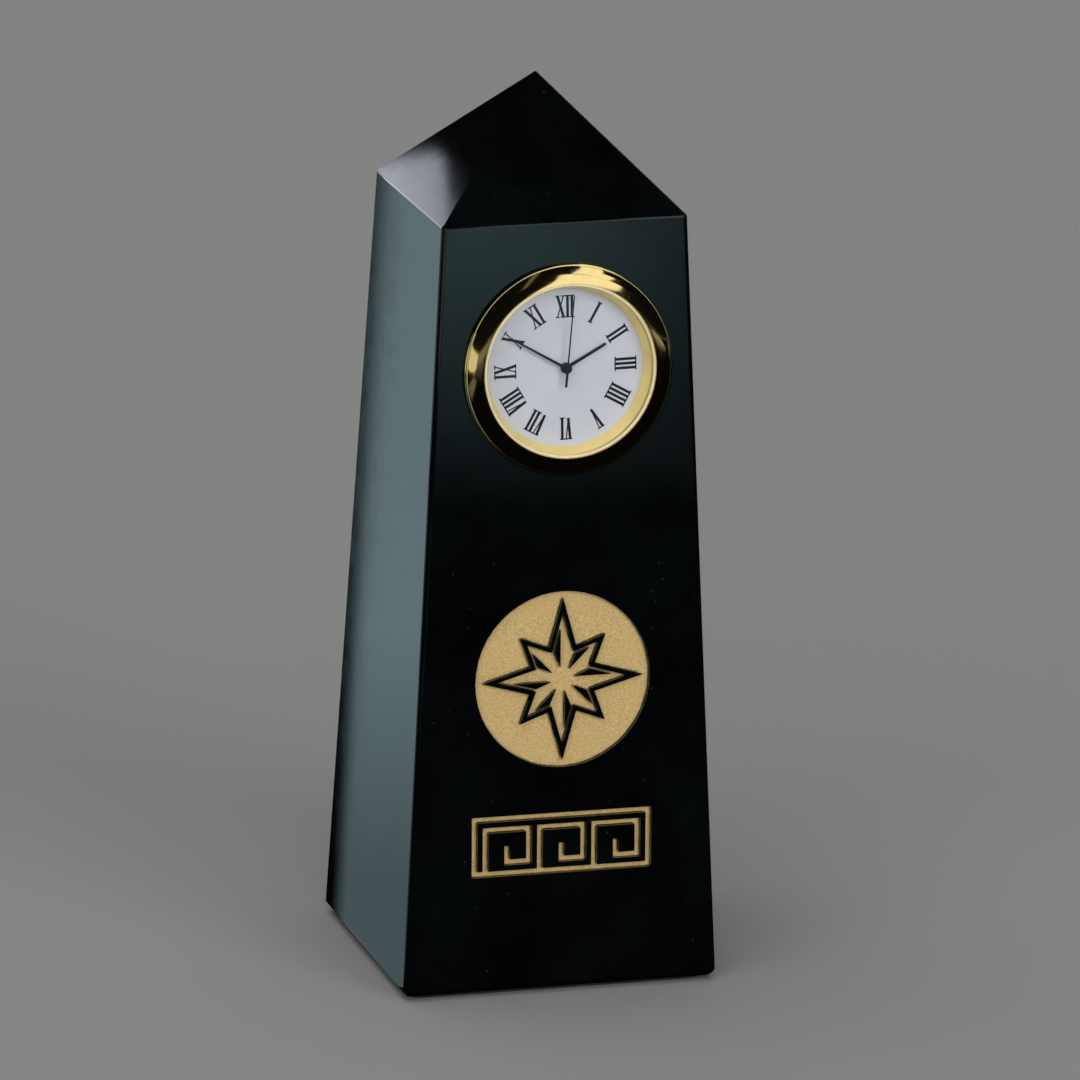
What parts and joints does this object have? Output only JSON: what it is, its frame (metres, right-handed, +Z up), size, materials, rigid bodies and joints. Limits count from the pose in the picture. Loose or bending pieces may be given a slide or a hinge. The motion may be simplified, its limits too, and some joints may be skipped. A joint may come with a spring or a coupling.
{
  "type": "marble obelisk clock",
  "caption": "Tapered black marble obelisk with a pyramid top, a pull-out quartz clock insert with a domed gold bezel, and a carved, gold-filled star medallion and key band on its front.",
  "frame": {"origin": "on the table, under the middle of the foot", "axes": "+Z up along the obelisk, the dial and the carved face look along -Y, +X is the viewer's right in front of the dial"},
  "size_m": [0.0548, 0.053, 0.1536],
  "materials": {
    "black_marble": "polished black marble",
    "felt": "black felt",
    "gold_fill": "gold paint on a sandblasted recess",
    "gold_plate": "polished gold plate",
    "crystal_glass": "clear, domed",
    "nylon": "moulded white",
    "dial_white": "matt white lacquer, printed numerals",
    "steel": "nickel plated",
    "black_rubber": "moulded, ribbed",
    "white_plastic": "moulded white",
    "movement_brass": "plain brass",
    "magnet": "sintered magnet",
    "copper": "enamelled copper wire, wound",
    "board_green": "green circuit board",
    "epoxy": "black epoxy",
    "hand_black": "black lacquer"
  },
  "bodies": {
    "stone": {"marble_body": "black_marble", "base_pad": "felt", "star_fill": "gold_fill", "medallion_fill": "gold_fill", "key_band_fill": "gold_fill"},
    "insert": {"bezel": "gold_plate", "crystal": "crystal_glass", "crystal_gasket": "nylon", "reflector_ring": "gold_plate", "dial": "dial_white", "case_ring": "steel", "back_cover": "steel", "back_gasket": "black_rubber", "grip_band": "black_rubber", "movement_holder": "white_plastic", "main_plate": "movement_brass", "train_bridge": "steel", "bridge_screw_1": "steel", "bridge_screw_2": "steel", "bridge_screw_3": "steel", "stator": "steel", "coil_core": "steel", "coil": "copper", "circuit_board": "board_green", "quartz_can": "steel", "control_chip": "epoxy", "button_cell": "steel", "cell_clamp": "steel"},
    "seconds": {"seconds_wheel": "movement_brass", "second_hand": "hand_black"},
    "minutes": {"centre_wheel": "movement_brass", "cannon_pinion": "steel", "minute_hand": "hand_black"},
    "hours": {"hour_wheel": "movement_brass", "hour_hand": "hand_black"},
    "third": {"third_wheel": "movement_brass"},
    "intermediate": {"intermediate_wheel": "movement_brass"},
    "motor_rotor": {"rotor": "magnet"},
    "motion_wheel": {"minute_wheel": "movement_brass"},
    "stem_pinion": {"setting_pinion": "steel"},
    "crown_and_stem": {"stem": "steel", "crown": "gold_plate"}
  },
  "joints": [
    {"name": "insert_slide", "type": "slide", "parent": "stone", "child": "insert", "axis": [0, -0.9993, 0.0387], "range_m": [0, 0.014]},
    {"name": "second_turn", "type": "hinge", "parent": "insert", "child": "seconds", "pos_m": [0.0005, -0.01737, 0.10741], "axis": [0, 0.9993, -0.0387], "continuous": true},
    {"name": "minute_turn", "type": "hinge", "parent": "insert", "child": "minutes", "pos_m": [0.0005, -0.01737, 0.10741], "axis": [0, 0.9993, -0.0387], "continuous": true},
    {"name": "hour_turn", "type": "hinge", "parent": "insert", "child": "hours", "pos_m": [0.0005, -0.01737, 0.10741], "axis": [0, 0.9993, -0.0387], "continuous": true},
    {"name": "third_turn", "type": "hinge", "parent": "insert", "child": "third", "pos_m": [-0.00215, -0.01743, 0.10588], "axis": [0, 0.9993, -0.0387], "continuous": true},
    {"name": "intermediate_turn", "type": "hinge", "parent": "insert", "child": "intermediate", "pos_m": [0.0032, -0.01743, 0.10585], "axis": [0, 0.9993, -0.0387], "continuous": true},
    {"name": "rotor_turn", "type": "hinge", "parent": "insert", "child": "motor_rotor", "pos_m": [0.00446, -0.01751, 0.10367], "axis": [0, 0.9993, -0.0387], "continuous": true},
    {"name": "minute_wheel_turn", "type": "hinge", "parent": "insert", "child": "motion_wheel", "pos_m": [0.0028, -0.01729, 0.10933], "axis": [0, 0.9993, -0.0387], "continuous": true},
    {"name": "stem_turn", "type": "hinge", "parent": "insert", "child": "stem_pinion", "pos_m": [0.0105, -0.01667, 0.10738], "axis": [1, 0, 0], "continuous": true},
    {"name": "crown_pull", "type": "slide", "parent": "stem_pinion", "child": "crown_and_stem", "axis": [1, 0, 0], "range_m": [0, 0.0008]}
  ],
  "couplings": [
    {"joint": "minute_turn", "follows": "second_turn", "ratio": 0.016667},
    {"joint": "hour_turn", "follows": "second_turn", "ratio": 0.0013889},
    {"joint": "third_turn", "follows": "second_turn", "ratio": -0.125},
    {"joint": "intermediate_turn", "follows": "second_turn", "ratio": -5},
    {"joint": "rotor_turn", "follows": "second_turn", "ratio": 30},
    {"joint": "minute_wheel_turn", "follows": "second_turn", "ratio": -0.0055556}
  ]
}
